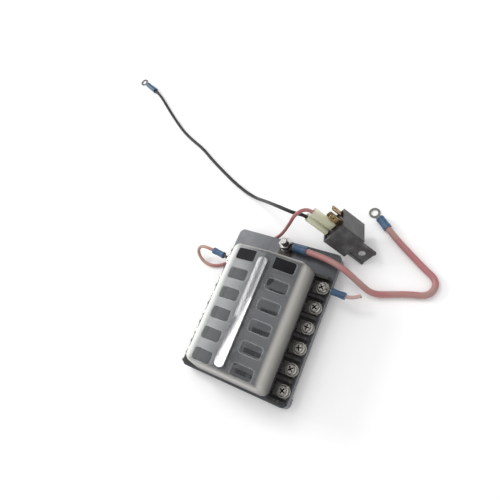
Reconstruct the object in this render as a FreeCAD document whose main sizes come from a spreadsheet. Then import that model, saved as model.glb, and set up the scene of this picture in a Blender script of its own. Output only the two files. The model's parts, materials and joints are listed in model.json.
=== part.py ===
import FreeCAD, Part
import math
import os
import Sketcher

Vector = FreeCAD.Vector

# Twelve-way blade-fuse block with its leads and relay, in millimetres.
# The origin is on the table under the middle of the base; +Y points at the feed stud, +Z up.
doc = FreeCAD.newDocument("FuseBlock")

SIZES = {
    # base moulding: its length follows from the rows, its width from the sockets
    "row_pitch": 14.8,
    "back_shelf": 27.64,
    "front_shelf": 10.36,
    "terminal_shelf": 12.5,
    "base_corner": 4.0,
    "deck_top": 10.0,
    "deck_wall": 2.4,
    "skirt_foot": 4.0,
    "skirt_wall": 2.2,
    "foot_side": 8.0,
    "boss_foot": 3.6,
    # plateau that holds the fuse sockets
    "ledge_top": 17.0,
    "socket_top": 20.0,
    "ledge_inset": 0.3,
    "socket_inner": 3.0,
    "socket_length": 14.5,
    "socket_neck": 12.0,
    "socket_gap": 3.2,
    "cover_clearance": 0.35,
    "rim_play": 0.25,
    "rim_end_play": 0.4,
    "slot_play": 0.1,
    "core_width": 5.6,
    "core_margin": 4.0,
    "mark_radius": 1.5,
    "mark_line": 0.5,
    "mark_height": 0.5,
    # mounting holes
    "mount_radius": 2.25,
    "mount_sink_radius": 4.4,
    "mount_sink_depth": 6.0,
    # cover, which ends at these distances from the last and the first row
    "cover_front_end": 8.46,
    "cover_back_end": 10.34,
    "cover_side_draft": 1.3,
    "cover_end_draft": 3.6,
    "cover_side_top": 36.0,
    "cover_ridge": 41.4,
    "cover_wall": 1.6,
    "cover_corner": 5.0,
    "cover_edge": 3.0,
    "rib_width": 8.0,
    "rib_front_gap": 5.6,
    "rib_back_gap": 8.7,
    "rib_rise": 1.0,
    "window_inner": 7.4,
    "window_edge": 6.9,
    "window_height": 8.4,
    "window_corner": 1.4,
    "window_depth": 0.5,
    "window_shift": 0.3,
    "label_play": 0.15,
    # barrier strips beside the plateau
    "strip_floor": 0.8,
    "strip_margin": 1.3,
    "fin_top": 15.5,
    "fin_width": 2.0,
    "fin_bevel": 2.0,
    # conductors in the block
    "sheet_metal": 0.8,
    "bus_metal": 1.2,
    "bus_leg": 4.6,
    "bus_stem": 9.4,
    "pad_width": 8.8,
    "pad_length": 10.4,
    "neck_width": 4.4,
    "neck_spare": 0.4,
    "pad_inset": 0.8,
    "clip_length": 4.4,
    "clip_back": 0.2,
    "clip_leaf": 0.5,
    "clip_gap": 0.8,
    "clip_height": 7.0,
    "clip_mouth": 1.4,
    "clip_flare": 0.35,
    # terminal screws
    "screw_inset": 4.9,
    "screw_radius": 1.75,
    "screw_length": 8.0,
    "head_radius": 3.7,
    "head_height": 2.8,
    "recess_arm": 4.2,
    "recess_blade": 0.9,
    "recess_depth": 1.5,
    "washer_radius": 4.7,
    "washer_metal": 1.0,
    "thread_play": 0.1,
    "boss_wall": 1.6,
    # feed stud
    "stud_inset": 4.8,
    "stud_radius": 2.5,
    "stud_core": 2.3,
    "stud_top": 21.8,
    "stud_tip": 3.2,
    "stud_tip_round": 0.5,
    "stud_head": 4.0,
    "stud_head_metal": 1.6,
    "stud_washer": 4.6,
    "lock_radius": 3.9,
    "lock_split": 0.7,
    "nut_flats": 8.0,
    "nut_height": 4.0,
    "lock_metal": 1.1,
    # ring terminals: small on the screws, large on the stud
    "small_ring": 3.9,
    "small_hole": 2.15,
    "small_sleeve": 2.55,
    "large_ring": 4.1,
    "large_hole": 2.65,
    "large_sleeve": 3.15,
    "sleeve_start": 7.0,
    "sleeve_length": 10.2,
    "barrel_length": 6.2,
    "barrel_wall": 0.35,
    "lay_gap": 0.05,
    "crank_lap": 0.3,
    "crank_foot": 1.3,
    "crank_heel": 2.1,
    "crank_brow": 0.9,
    "tongue_share": 1.7,
    "barrel_lap": 0.4,
    "waist_depth": 0.2,
    "sleeve_lip": 0.4,
    "front_bead": 1.2,
    "front_waist": 2.2,
    "back_waist": 3.2,
    "back_bead": 2.4,
    "long_start": 9.6,
    "long_barrel": 9.0,
    "long_sleeve": 14.6,
    # wires
    "thin_wire": 1.3,
    "thick_wire": 2.25,
    "wire_play": 0.1,
    # relay
    "relay_side": 20.0,
    "relay_edge": 0.7,
    "relay_recess": 3.0,
    "relay_wall": 1.2,
    "relay_floor": 1.8,
    "ear_length": 13.5,
    "ear_width": 14.0,
    "ear_metal": 2.6,
    "ear_web": 1.2,
    "ear_rib": 1.8,
    "ear_hole": 2.65,
    "ear_shift": 0.5,
    "ear_root": 1.0,
    "plate_play": 0.05,
    "blade_width": 4.8,
    "blade_metal": 0.8,
    "blade_length": 9.0,
    "blade_hole": 0.9,
    "blade_hole_inset": 2.8,
    "blade_bevel": 0.8,
    "spade_width": 6.0,
    "spade_height": 2.8,
    "spade_length": 9.2,
    "spade_play": 0.1,
    "spade_back": 1.0,
    "spade_rounding": 0.35,
    "spade_mouth": 0.6,
    "spade_barrel_wall": 0.2,
    "spade_barrel_lap": 0.3,
    "boot_back": 0.6,
    "boot_rounding": 0.45,
    "boot_bore_rounding": 0.3,
    "boot_width": 7.0,
    "boot_height": 3.8,
    "boot_length": 18.6,
    "boot_wall": 0.45,
}

sheet = doc.addObject("Spreadsheet::Sheet", "Sizes")
for row, (alias, value) in enumerate(SIZES.items(), start=1):
    sheet.set("A%d" % row, str(value))
    sheet.setAlias("A%d" % row, alias)
doc.recompute()

ROWS = 6
SIDES = (1, -1)


def size(alias):
    """The value of one cell of the sheet."""
    return float(sheet.get(alias))


def bound(expression):
    """Puts the sheet's name before each alias of an expression."""
    words = []
    word = ""
    for letter in expression + " ":
        if letter.isalnum() or letter in "_.":
            word += letter
            continue
        words.append("Sizes." + word if word in SIZES else word)
        words.append(letter)
        word = ""
    return "".join(words).strip()


def origin_feature(body, role):
    """One of a body's own origin planes or axes."""
    return next(feature for feature in body.Origin.OriginFeatures if feature.Role == role)


def new_body(name):
    """An empty body that may hold several separate solids."""
    body = doc.addObject("PartDesign::Body", name)
    body.Label = name
    body.AllowCompound = True
    return body


def sketch(body, plane, loops=(), circles=(), offset=None):
    """A fully dimensioned sketch of straight-sided loops and circles, given as expressions."""
    made = body.newObject("Sketcher::SketchObject", body.Name + "_sketch")
    made.AttachmentSupport = [(origin_feature(body, plane), "")]
    made.MapMode = "FlatFace"
    if offset:
        made.setExpression("AttachmentOffset.Base.z", bound(offset))
    first = 0
    for loop in loops:
        count = len(loop)
        seeds = []
        for i in range(count):
            turn = 2 * math.pi * i / count
            seeds.append(Vector(9 * math.cos(turn), 9 * math.sin(turn), 0))
        for i in range(count):
            made.addGeometry(Part.LineSegment(seeds[i], seeds[(i + 1) % count]), False)
        for i in range(count):
            after = first + (i + 1) % count
            made.addConstraint(Sketcher.Constraint("Coincident", first + i, 2, after, 1))
        for i, place in enumerate(loop):
            for kind, expression in zip(("DistanceX", "DistanceY"), place):
                index = made.addConstraint(Sketcher.Constraint(kind, first + i, 1, 1.0))
                made.setExpression("Constraints[%d]" % index, bound(expression))
        first += count
    for x, y, radius in circles:
        ring = made.addGeometry(Part.Circle(Vector(1, 1, 0), Vector(0, 0, 1), 1.0), False)
        for kind, expression in (("DistanceX", x), ("DistanceY", y)):
            index = made.addConstraint(Sketcher.Constraint(kind, ring, 3, 1.0))
            made.setExpression("Constraints[%d]" % index, bound(expression))
        index = made.addConstraint(Sketcher.Constraint("Radius", ring, 1.0))
        made.setExpression("Constraints[%d]" % index, bound(radius))
    return made


def box_loop(x0, x1, y0, y1):
    """The four corners of a rectangle, as expressions."""
    return [(x0, y0), (x1, y0), (x1, y1), (x0, y1)]


def pad(body, profile, length, middle=False, reverse=False):
    """A prism on a sketch."""
    made = body.newObject("PartDesign::Pad", body.Name + "_pad")
    made.Profile = profile
    made.setExpression("Length", bound(length))
    made.Midplane = middle
    made.Reversed = reverse
    doc.recompute()
    return made


def pocket(body, profile, length, middle=False, reverse=False):
    """A cut below a sketch; it must take something away."""
    before = body.Shape.Volume
    made = body.newObject("PartDesign::Pocket", body.Name + "_pocket")
    made.Profile = profile
    made.setExpression("Length", bound(length))
    made.Midplane = middle
    made.Reversed = reverse
    doc.recompute()
    if made.Shape.Volume > before - 0.01:
        raise RuntimeError(made.Name + " cuts nothing")
    return made


def down_the_rows(body, features, count=ROWS):
    """Repeats features at the pitch of the rows, towards the front."""
    made = body.newObject("PartDesign::LinearPattern", body.Name + "_rows")
    made.Originals = features
    made.Direction = (origin_feature(body, "Y_Axis"), [""])
    made.Reversed = True
    made.Occurrences = count
    made.setExpression("Length", bound("%d * row_pitch" % (count - 1)))
    body.Tip = made
    doc.recompute()
    return made


def round_edges(body, edges, radius):
    """Rounds the named edges of the body's tip."""
    tip = body.Tip
    made = body.newObject("PartDesign::Fillet", body.Name + "_round")
    made.Base = (tip, edges)
    made.setExpression("Radius", bound(radius))
    doc.recompute()
    return made


def edges_where(shape, test):
    """The names of a shape's edges that pass a test."""
    return ["Edge%d" % (i + 1) for i, edge in enumerate(shape.Edges) if test(edge)]


def is_upright(edge):
    """True for an edge that runs mostly along Z."""
    box = edge.BoundBox
    return box.ZLength > 2 * max(box.XLength, box.YLength)


def placed(shape, x=0.0, y=0.0, z=0.0, turn=0.0):
    """A copy of a shape, turned about Z and then moved."""
    copy = shape.copy()
    copy.Placement = FreeCAD.Placement(Vector(x, y, z), FreeCAD.Rotation(Vector(0, 0, 1), turn))
    return copy


def feature(name, shape, placement=None):
    """A sub-part whose shape comes from Part's own functions."""
    made = doc.addObject("Part::Feature", name)
    made.Label = name
    made.Shape = shape
    if placement is not None:
        made.Placement = placement
    return made


ALL_ROWS = "%d * row_pitch" % (ROWS - 1)
HALF_LENGTH = "((back_shelf + %s + front_shelf) / 2)" % ALL_ROWS
FIRST_ROW = "(%s - back_shelf)" % HALF_LENGTH
LAST_ROW = "(front_shelf - %s)" % HALF_LENGTH
SOCKET_END = "(socket_inner + socket_length)"
HALF_COVER = "(%s + socket_neck)" % SOCKET_END
HALF_WIDTH = "(%s + terminal_shelf)" % HALF_COVER
SCREW_X = "(%s - screw_inset)" % HALF_WIDTH
STUD_Y = "(%s - stud_inset)" % HALF_LENGTH
COVER_BACK = "(%s + cover_back_end)" % FIRST_ROW
COVER_FRONT = "(cover_front_end - %s)" % LAST_ROW
DECK_UNDER = "deck_top - deck_wall"
LEDGE = "%s - ledge_inset" % HALF_COVER
LEDGE_BACK = "%s - ledge_inset" % COVER_BACK
LEDGE_FRONT = "-%s + ledge_inset" % COVER_FRONT
RIM = "%s - cover_wall - cover_clearance - rim_play" % HALF_COVER
RIM_BACK = "%s - cover_wall - cover_clearance - rim_end_play" % COVER_BACK
RIM_FRONT = "-%s + cover_wall + cover_clearance + rim_end_play" % COVER_FRONT
BUS_TOP = "deck_top + bus_metal"
STRIP_TOP = "deck_top + strip_floor + sheet_metal"
FEED_RING_TOP = "deck_top + bus_metal + washer_metal + sheet_metal"


def half_cover():
    """Half the cover's width."""
    return size("socket_inner") + size("socket_length") + size("socket_neck")


def screw_x():
    """The distance of the terminal screws from the centre plane."""
    return half_cover() + size("terminal_shelf") - size("screw_inset")


def half_length():
    """Half the base's length, from its rows and its two shelves."""
    rows = (ROWS - 1) * size("row_pitch")
    return (size("back_shelf") + rows + size("front_shelf")) / 2


def row_y(index):
    """The place of a row along the block, counted from the stud's end."""
    return half_length() - size("back_shelf") - index * size("row_pitch")


def stud_y():
    """The place of the feed stud along the block."""
    return half_length() - size("stud_inset")


def base_moulding():
    """Deck with a skirt and corner feet, the socket plateau, screw bosses and conductor channels."""
    body = new_body("base_moulding")
    half_x = HALF_WIDTH
    half_y = HALF_LENGTH
    outline = box_loop("-" + half_x, half_x, "-" + half_y, half_y)
    pad(body, sketch(body, "XY_Plane", [outline]), "deck_top")
    round_edges(body, edges_where(body.Shape, is_upright), "base_corner")

    # hollow underside, then the skirt is cut back between the feet
    inner = box_loop(
        "-%s + skirt_wall" % half_x, "%s - skirt_wall" % half_x,
        "-%s + skirt_wall" % half_y, "%s - skirt_wall" % half_y)
    pocket(body, sketch(body, "XY_Plane", [inner]), DECK_UNDER, reverse=True)
    across = box_loop("-%s" % half_x, half_x, "-%s + foot_side" % half_y, "%s - foot_side" % half_y)
    pocket(body, sketch(body, "XY_Plane", [across]), "skirt_foot", reverse=True)
    along = box_loop("-%s + foot_side" % half_x, "%s - foot_side" % half_x, "-" + half_y, half_y)
    pocket(body, sketch(body, "XY_Plane", [along]), "skirt_foot", reverse=True)
    feet = []
    for x in SIDES:
        for y in SIDES:
            feet.append(box_loop(
                "%d * (%s - foot_side)" % (x, half_x), "%d * (%s - skirt_wall)" % (x, half_x),
                "%d * (%s - foot_side)" % (y, half_y), "%d * (%s - skirt_wall)" % (y, half_y)))
    pad(body, sketch(body, "XY_Plane", feet), "deck_top - deck_wall / 2")

    # plateau: a ledge that carries the cover's lip and a rim that locates it
    ledge = box_loop("-(%s)" % LEDGE, LEDGE, LEDGE_FRONT, LEDGE_BACK)
    pad(body, sketch(body, "XY_Plane", [ledge], offset=DECK_UNDER), "ledge_top - (%s)" % DECK_UNDER)
    rim = box_loop("-(%s)" % RIM, RIM, RIM_FRONT, RIM_BACK)
    pad(body, sketch(body, "XY_Plane", [rim], offset="deck_top"), "socket_top - deck_top")
    above = size("deck_top") - 0.1
    corners = edges_where(body.Shape, lambda edge: is_upright(edge) and edge.BoundBox.ZMin > above)
    round_edges(body, corners, "cover_corner - 1")

    # one row of sockets, with the channels under them for the bus legs and the load strips
    sockets = []
    channels = []
    for x in SIDES:
        sockets.append(box_loop(
            "%d * socket_inner" % x, "%d * %s" % (x, SOCKET_END),
            "%s - socket_gap / 2" % FIRST_ROW, "%s + socket_gap / 2" % FIRST_ROW))
        channels.append(box_loop(
            "%d * (%s - clip_length - clip_back - neck_spare)" % (x, SOCKET_END),
            "%d * (%s)" % (x, LEDGE),
            "%s - neck_width / 2" % FIRST_ROW, "%s + neck_width / 2" % FIRST_ROW))
    slots = pocket(body, sketch(body, "XY_Plane", sockets, offset="socket_top"),
                   "socket_top - (%s)" % DECK_UNDER)
    down_the_rows(body, [slots])
    strips = pocket(body, sketch(body, "XY_Plane", channels, offset=DECK_UNDER),
                    "%s - (%s)" % (STRIP_TOP, DECK_UNDER), reverse=True)
    down_the_rows(body, [strips])
    legs = []
    for x in SIDES:
        legs.append(box_loop(
            "%d * (socket_inner + slot_play)" % x, "%d * (socket_inner + slot_play + bus_leg)" % x,
            "%s - %d * row_pitch - clip_length" % (FIRST_ROW, ROWS - 1),
            "%s + clip_length + bus_leg" % FIRST_ROW))
    pocket(body, sketch(body, "XY_Plane", legs, offset=DECK_UNDER),
           "%s - (%s)" % (BUS_TOP, DECK_UNDER), reverse=True)
    yoke = box_loop("-socket_inner - slot_play", "socket_inner + slot_play",
                    "%s + clip_length" % FIRST_ROW, "%s + clip_length + bus_leg" % FIRST_ROW)
    pocket(body, sketch(body, "XY_Plane", [yoke], offset=DECK_UNDER),
           "%s - (%s)" % (BUS_TOP, DECK_UNDER), reverse=True)
    stem = box_loop("-bus_stem / 2", "bus_stem / 2",
                    "%s + clip_length + bus_leg" % FIRST_ROW, "%s + slot_play" % LEDGE_BACK)
    pocket(body, sketch(body, "XY_Plane", [stem], offset="deck_top"), "bus_metal", reverse=True)

    # thick plastic between the middle rows is cored out from below
    core = box_loop("-(%s - core_margin)" % RIM, "%s - core_margin" % RIM,
                    "%s - 1.5 * row_pitch - core_width / 2" % FIRST_ROW,
                    "%s - 1.5 * row_pitch + core_width / 2" % FIRST_ROW)
    cores = pocket(body, sketch(body, "XY_Plane", [core], offset=DECK_UNDER),
                   "ledge_top - (%s)" % DECK_UNDER, reverse=True)
    down_the_rows(body, [cores], 3)

    # screw bosses hang under the deck, drilled from the top
    centres = [("%d * %s" % (x, SCREW_X), FIRST_ROW) for x in SIDES]
    bosses = pad(body, sketch(body, "XY_Plane", circles=[
        (x, y, "screw_radius + boss_wall") for x, y in centres], offset="boss_foot"),
        "%s - boss_foot + slot_play" % DECK_UNDER)
    down_the_rows(body, [bosses])
    holes = pocket(body, sketch(body, "XY_Plane", circles=[
        (x, y, "screw_radius + thread_play") for x, y in centres], offset="deck_top"),
        "deck_top - skirt_foot")
    down_the_rows(body, [holes])

    # small moulded ring marks on the centre line
    marks = pad(body, sketch(body, "XY_Plane", circles=[
        ("0", FIRST_ROW, "mark_radius"), ("0", FIRST_ROW, "mark_radius - mark_line")], offset="socket_top"),
        "mark_height")
    down_the_rows(body, [marks])

    # sunk mounting holes between the first two and the last two rows
    places = [("0", "%s - 0.5 * row_pitch" % FIRST_ROW),
              ("0", "%s - %.1f * row_pitch" % (FIRST_ROW, ROWS - 1.5))]
    pocket(body, sketch(body, "XY_Plane", circles=[
        (x, y, "mount_radius") for x, y in places], offset="socket_top"),
        "socket_top - (%s)" % DECK_UNDER)
    pocket(body, sketch(body, "XY_Plane", circles=[
        (x, y, "mount_sink_radius") for x, y in places], offset="socket_top"), "mount_sink_depth")

    # hole for the stud
    pocket(body, sketch(body, "XY_Plane", circles=[
        ("0", STUD_Y, "stud_core + thread_play")], offset="deck_top"), "deck_wall + slot_play")
    pocket(body, sketch(body, "XY_Plane", circles=[
        ("0", STUD_Y, "stud_head + thread_play")], offset=DECK_UNDER), DECK_UNDER)
    return body


def cover_block(name, inset):
    """The cover's outer form, or the same form made smaller all round by an inset."""
    body = new_body(name)
    side = "%s - %s" % (HALF_COVER, inset)
    top = "%s - cover_side_draft" % side
    gable = [("-(%s)" % side, "ledge_top"), (side, "ledge_top"), (top, "cover_side_top - %s" % inset),
             ("0", "cover_ridge - %s" % inset), ("-(%s)" % top, "cover_side_top - %s" % inset)]
    span = "2 * (%s + cover_edge)" % COVER_FRONT
    pad(body, sketch(body, "XZ_Plane", [gable]), span, middle=True)
    wedges = []
    for sign, end in ((1, COVER_BACK), (-1, COVER_FRONT)):
        low = "%d * (%s - %s)" % (sign, end, inset)
        high = "%d * (%s - %s - cover_end_draft)" % (sign, end, inset)
        far = "%d * 2 * %s" % (sign, COVER_FRONT)
        wedges.append([(low, "ledge_top - 1"), (low, "ledge_top"), (high, "cover_ridge + 2"),
                       (far, "cover_ridge + 2"), (far, "ledge_top - 1")])
    pocket(body, sketch(body, "YZ_Plane", wedges), "4 * %s" % HALF_COVER, middle=True)
    round_edges(body, edges_where(body.Shape, is_upright), "cover_corner - %s" % inset)
    middle = (size("ledge_top") + size("cover_side_top")) / 2

    def is_roof_rim(edge):
        """True where the roof meets a side, an end or a rounded corner."""
        box = edge.BoundBox
        ridge = max(abs(box.XMin), abs(box.XMax)) < 0.001
        return box.ZMin > middle and not ridge and not is_upright(edge)

    round_edges(body, edges_where(body.Shape, is_roof_rim), "cover_edge - %s" % inset)
    return body


def window_plates(play, lift, thick, rows):
    """Rounded plates lying on the right slope of the roof, one at each of the given rows."""
    rise = size("cover_ridge") - size("cover_side_top")
    run = half_cover() - size("cover_side_draft")
    slope = math.degrees(math.atan2(rise, run))
    along = half_cover() - size("window_edge") - size("window_inner") - 2 * play
    across = size("window_height") - 2 * play
    plate = Part.makeBox(along, across, thick)
    upright = [edge for edge in plate.Edges if is_upright(edge)]
    plate = plate.makeFillet(size("window_corner") - play, upright)
    plates = []
    for row in rows:
        y = row_y(row) + size("window_shift") - across / 2
        plates.append(placed(plate, size("window_inner") + play, y, lift))
    whole = Part.makeCompound(plates)
    turn = FreeCAD.Rotation(Vector(0, 1, 0), slope)
    whole.Placement = FreeCAD.Placement(Vector(0, 0, size("cover_ridge")), turn)
    return whole


def mirrored(shape):
    """The same shape on the other side of the block's centre plane."""
    return shape.mirror(Vector(0, 0, 0), Vector(1, 0, 0))


def cover():
    """Thin translucent shell with a gabled roof, a rounded rib along the ridge and sunk windows."""
    outer = cover_block("cover_outside", "0")
    inner = cover_block("cover_inside", "cover_wall")
    rib = new_body("cover_rib")
    outline = box_loop("-rib_width / 2", "rib_width / 2",
                       "rib_front_gap - %s" % COVER_FRONT, "%s - rib_back_gap" % COVER_BACK)
    pad(rib, sketch(rib, "XY_Plane", [outline], offset="cover_ridge - cover_wall + 0.4"),
        "cover_wall - 0.4 + rib_rise")
    round_edges(rib, edges_where(rib.Shape, is_upright), "rib_width / 2 - 0.5")
    top = size("cover_ridge") + size("rib_rise") - 0.01
    round_edges(rib, edges_where(rib.Shape, lambda edge: edge.BoundBox.ZMin > top), "rib_rise * 0.6")
    raised = doc.addObject("Part::Fuse", "cover_with_rib")
    raised.Base = outer
    raised.Tool = rib
    hollow = doc.addObject("Part::Cut", "cover_shell")
    hollow.Base = raised
    hollow.Tool = inner
    depth = size("window_depth")
    plates = window_plates(0.0, -depth, 3 * depth, range(ROWS))
    windows = feature("window_cutters", Part.makeCompound([plates, mirrored(plates)]))
    made = doc.addObject("Part::Cut", "cover")
    made.Base = hollow
    made.Tool = windows
    made.Label = "cover"
    doc.recompute()
    return made


def labels():
    """Two plain label inserts in the windows of the first row."""
    play = size("label_play")
    plate = window_plates(play, -size("window_depth"), size("window_depth") - 0.05, [0])
    return [feature("label_right", plate.Solids[0]), feature("label_left", mirrored(plate.Solids[0]))]


def barrier_strip():
    """Strip of insulating fins between the screws of one side, with a hole under each screw."""
    body = new_body("barrier_strip_right")
    inner = "%s + slot_play / 2" % LEDGE
    outer = "%s - strip_margin" % HALF_WIDTH
    back = "%s + 0.5 * row_pitch" % FIRST_ROW
    front = "%s - %.1f * row_pitch - fin_width / 2" % (FIRST_ROW, ROWS - 0.5)
    floor = box_loop(inner, outer, front, back)
    pad(body, sketch(body, "XY_Plane", [floor], offset="deck_top"), "strip_floor")
    wall = [(inner, "deck_top + strip_floor / 2"), (outer, "deck_top + strip_floor / 2"),
            (outer, "fin_top - fin_bevel"), ("%s - fin_bevel" % outer, "fin_top"), (inner, "fin_top")]
    fin = pad(body, sketch(body, "XZ_Plane", [wall], offset="-(%s) - fin_width / 2" % back), "fin_width")
    down_the_rows(body, [fin], ROWS + 1)
    hole = pocket(body, sketch(body, "XY_Plane", circles=[
        (SCREW_X, FIRST_ROW, "screw_radius + thread_play")], offset="deck_top + strip_floor"),
        "strip_floor")
    down_the_rows(body, [hole])
    other = doc.addObject("Part::Mirroring", "barrier_strip_left")
    other.Source = body
    other.Normal = Vector(1, 0, 0)
    other.Label = "barrier_strip_left"
    doc.recompute()
    return [body, other]


def clip_profile(foot):
    """The section of a fuse clip: two leaves that close on the blade and flare at the mouth."""
    gap = "clip_gap / 2"
    leaf = "clip_leaf"
    right = [(gap, "%s + clip_leaf" % foot), (gap, "%s + clip_height - clip_mouth" % foot),
             ("%s + clip_flare" % gap, "%s + clip_height" % foot),
             ("%s + clip_flare + %s" % (gap, leaf), "%s + clip_height" % foot),
             ("%s + %s" % (gap, leaf), "%s + clip_height - clip_mouth - 0.4 * %s" % (foot, leaf)),
             ("%s + %s" % (gap, leaf), foot)]
    left = [("-(%s)" % x, z) for x, z in reversed(right)]
    return right + left


def bus_bar():
    """Fork of flat bar from the stud, with one leg under each row of sockets."""
    body = new_body("bus_bar")
    leg_in = "socket_inner + slot_play"
    leg_out = "socket_inner + slot_play + bus_leg"
    yoke_low = "%s + clip_length" % FIRST_ROW
    yoke_high = "%s + clip_length + bus_leg" % FIRST_ROW
    tail = "%s - %d * row_pitch - clip_length" % (FIRST_ROW, ROWS - 1)
    neck = "bus_stem / 2"
    outline = [(neck, yoke_high), (leg_out, yoke_high), (leg_out, tail), (leg_in, tail),
               (leg_in, yoke_low), ("-(%s)" % leg_in, yoke_low), ("-(%s)" % leg_in, tail),
               ("-(%s)" % leg_out, tail), ("-(%s)" % leg_out, yoke_high), ("-" + neck, yoke_high),
               ("-" + neck, STUD_Y), (neck, STUD_Y)]
    pad(body, sketch(body, "XY_Plane", [outline], offset="deck_top"), "bus_metal")
    pad(body, sketch(body, "XY_Plane", circles=[("0", STUD_Y, neck)], offset="deck_top"),
        "bus_metal")
    pocket(body, sketch(body, "XY_Plane", circles=[
        ("0", STUD_Y, "stud_radius + thread_play")], offset=BUS_TOP), "bus_metal")
    return body


def bus_clips():
    """One clip on the bus bar at each socket."""
    body = new_body("bus_clip")
    section = sketch(body, "YZ_Plane", [clip_profile(BUS_TOP)], offset="socket_inner + clip_back")
    pad(body, section, "clip_length")
    clips = []
    for row in range(ROWS):
        clip = placed(body.Shape, 0, row_y(row), 0)
        clips += [clip, mirrored(clip)]
    return feature("bus_clips", Part.makeCompound(clips))


def circuit_terminals():
    """One strip at each socket: a screw pad outside, a neck under the ledge and a fuse clip inside."""
    body = new_body("circuit_terminal")
    low = "deck_top + strip_floor"
    near = "%s + pad_inset" % LEDGE
    far = "%s + pad_length" % near
    clip_in = "%s - clip_length - clip_back" % SOCKET_END
    outline = [(clip_in, "-neck_width / 2 + slot_play"), (near, "-neck_width / 2 + slot_play"),
               (near, "-pad_width / 2"), (far, "-pad_width / 2"), (far, "pad_width / 2"),
               (near, "pad_width / 2"), (near, "neck_width / 2 - slot_play"),
               (clip_in, "neck_width / 2 - slot_play")]
    pad(body, sketch(body, "XY_Plane", [outline], offset=low), "sheet_metal")
    section = sketch(body, "YZ_Plane", [clip_profile(low)], offset=clip_in)
    pad(body, section, "clip_length")
    pocket(body, sketch(body, "XY_Plane", circles=[
        (SCREW_X, "0", "screw_radius + thread_play")], offset=STRIP_TOP), "sheet_metal")
    strips = []
    for row in range(ROWS):
        strip = placed(body.Shape, 0, row_y(row), 0)
        strips += [strip, mirrored(strip)]
    return feature("circuit_terminals", Part.makeCompound(strips))


def clamp_height(row):
    """The height of the metal that a washer clamps; a ring terminal lies on the first row's pads."""
    pads = size("deck_top") + size("strip_floor") + size("sheet_metal")
    return pads + (size("sheet_metal") if row == 0 else 0.0)


def screws_and_washers():
    """Twelve pan-head cross-recess screws and the captive washers under their heads."""
    washer = new_body("screw_washer")
    pad(washer, sketch(washer, "XY_Plane", circles=[
        ("0", "0", "washer_radius"), ("0", "0", "screw_radius + thread_play")]), "washer_metal")
    rim = edges_where(washer.Shape, lambda edge: edge.BoundBox.ZMin > 0.1
                      and edge.BoundBox.XLength > size("washer_radius"))
    round_edges(washer, rim, "washer_metal * 0.4")

    screw = new_body("terminal_screw")
    pad(screw, sketch(screw, "XY_Plane", circles=[("0", "0", "head_radius")]), "head_height")
    crown = edges_where(screw.Shape, lambda edge: edge.BoundBox.ZMin > 0.1)
    round_edges(screw, crown, "head_height * 0.55")
    pad(screw, sketch(screw, "XY_Plane", circles=[("0", "0", "screw_radius")]), "screw_length",
        reverse=True)
    arms = [("recess_arm / 2", "recess_blade / 2"), ("recess_blade / 2", "recess_arm / 2")]
    bars = []
    for x, y in arms:
        bars.append(box_loop("-" + x, x, "-" + y, y))
    for bar in bars:
        pocket(screw, sketch(screw, "XY_Plane", [bar], offset="head_height"), "recess_depth")

    washers = []
    screws = []
    for row in range(ROWS):
        for side in SIDES:
            x = side * screw_x()
            washers.append(placed(washer.Shape, x, row_y(row), clamp_height(row)))
            lift = clamp_height(row) + size("washer_metal")
            screws.append(placed(screw.Shape, x, row_y(row), lift, 23.0 * row + 40.0 * side))
    return [feature("screw_washers", Part.makeCompound(washers)),
            feature("terminal_screws", Part.makeCompound(screws))]


def stud_stack():
    """Feed stud pressed up through the deck, with the washers and the nut that hold the ring."""
    stud = new_body("feed_stud")
    pad(stud, sketch(stud, "XY_Plane", circles=[("0", STUD_Y, "stud_core")], offset=DECK_UNDER),
        "stud_top - stud_tip - (%s)" % DECK_UNDER)
    pad(stud, sketch(stud, "XY_Plane", circles=[("0", STUD_Y, "stud_radius")],
                     offset="stud_top - stud_tip"), "stud_tip")
    tip = size("stud_top") - 0.01
    end = edges_where(stud.Shape, lambda edge: edge.BoundBox.ZMin > tip)
    round_edges(stud, end, "stud_tip_round")
    pad(stud, sketch(stud, "XY_Plane", circles=[("0", STUD_Y, "stud_head")], offset=DECK_UNDER),
        "stud_head_metal", reverse=True)

    rings = []
    for name, outer, thick, height in (
            ("stud_flat_washer", "stud_washer", "washer_metal", BUS_TOP),
            ("stud_lock_washer", "lock_radius", "lock_metal", FEED_RING_TOP)):
        ring = new_body(name)
        pad(ring, sketch(ring, "XY_Plane", circles=[
            ("0", STUD_Y, outer), ("0", STUD_Y, "stud_radius + thread_play")], offset=height), thick)
        rings.append(ring)
    split = box_loop("-lock_split / 2", "lock_split / 2", "%s - stud_washer" % STUD_Y, STUD_Y)
    nut_foot = "%s + lock_metal" % FEED_RING_TOP
    pocket(rings[1], sketch(rings[1], "XY_Plane", [split], offset=nut_foot), "lock_metal")

    nut = new_body("stud_nut")
    corner = "nut_flats / 2 / cos(30)"
    hexagon = []
    for step in range(6):
        hexagon.append(("%s * cos(%d)" % (corner, 60 * step + 12),
                        "%s + %s * sin(%d)" % (STUD_Y, corner, 60 * step + 12)))
    pad(nut, sketch(nut, "XY_Plane", [hexagon], [
        ("0", STUD_Y, "stud_core + thread_play / 2")], offset=nut_foot), "nut_height")
    return [stud, rings[0], rings[1], nut]


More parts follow.
